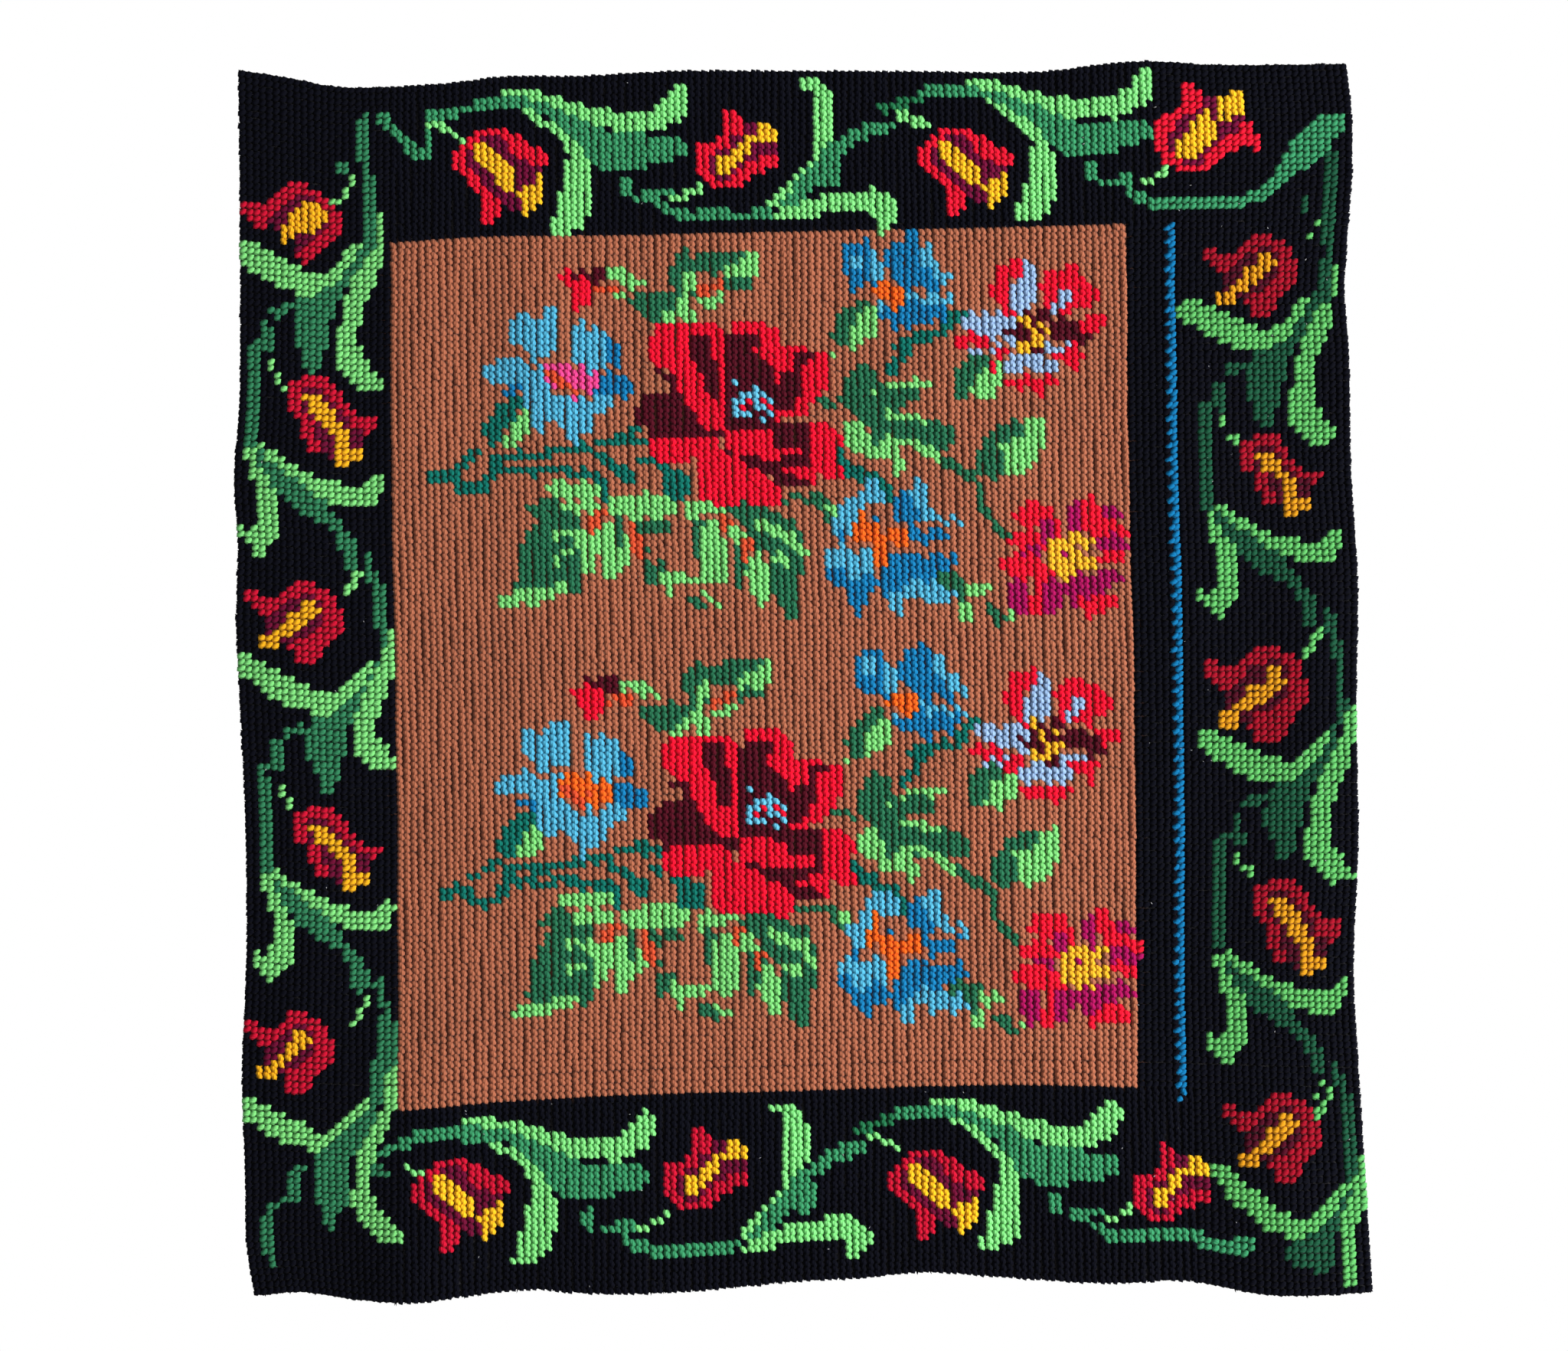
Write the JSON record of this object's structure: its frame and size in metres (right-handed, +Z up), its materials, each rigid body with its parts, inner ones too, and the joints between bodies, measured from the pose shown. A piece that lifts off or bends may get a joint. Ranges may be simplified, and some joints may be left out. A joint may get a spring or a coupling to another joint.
{
  "type": "cross-stitch wall hanging",
  "caption": "Stitched wool hanging: a floral spray worked twice on a brown field inside a dark border with a trailing tulip vine, hung by its top edge.",
  "frame": {"origin": "middle of the top edge, on the wall plane that the back lies against", "axes": "+Z up, the stitched face looks towards -Y, the back meets the wall at Y = 0, +X to the right seen from the front"},
  "size_m": [0.9828, 0.0159, 1.0729],
  "materials": {
    "stitched_wool": "matt wool yarn in crossed stitches, black and brown with green, red, blue and gold"
  },
  "bodies": {
    "root": {"embroidered_cloth": "stitched_wool"}
  },
  "joints": []
}
